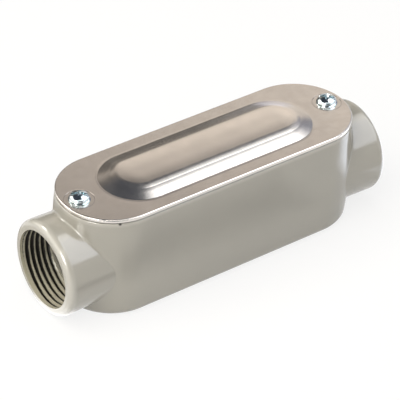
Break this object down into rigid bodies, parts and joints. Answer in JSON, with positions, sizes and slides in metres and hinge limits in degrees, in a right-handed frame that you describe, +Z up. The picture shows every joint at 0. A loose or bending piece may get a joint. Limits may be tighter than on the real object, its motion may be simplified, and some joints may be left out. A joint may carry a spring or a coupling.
{
  "type": "conduit body",
  "caption": "Straight-through electrical conduit body with a female-threaded hub at each end, a gasketed screw-down access cover with a raised panel, and a flat back.",
  "frame": {"origin": "on the flat back face, below the middle of the housing", "axes": "+X along the wire way towards the right hub's mouth, +Z up from the back face towards the cover, +Y towards the far long side"},
  "size_m": [0.142, 0.0408, 0.0456],
  "materials": {
    "grey_enamel": "glossy",
    "bare_cover": "satin",
    "gasket_sheet": "matte",
    "plated_screw": "satin"
  },
  "bodies": {
    "housing": {"conduit_body": "grey_enamel"},
    "lid": {"cover": "bare_cover", "gasket": "gasket_sheet"},
    "left_screw": {"left_cover_screw": "plated_screw"},
    "right_screw": {"right_cover_screw": "plated_screw"}
  },
  "joints": [
    {"name": "cover_lift", "type": "slide", "parent": "housing", "child": "lid", "axis": [0, 0, 1], "range_m": [0, 0.0079]},
    {"name": "left_screw_turn", "type": "hinge", "parent": "lid", "child": "left_screw", "pos_m": [-0.0553, 0, 0.0429], "axis": [0, 0, 1], "range_deg": [0, 3600]},
    {"name": "right_screw_turn", "type": "hinge", "parent": "lid", "child": "right_screw", "pos_m": [0.0553, 0, 0.0429], "axis": [0, 0, 1], "range_deg": [0, 3600]}
  ],
  "couplings": [
    {"joint": "left_screw_turn", "follows": "cover_lift", "rad_per_m": 7915.8},
    {"joint": "right_screw_turn", "follows": "cover_lift", "rad_per_m": 7915.8}
  ]
}
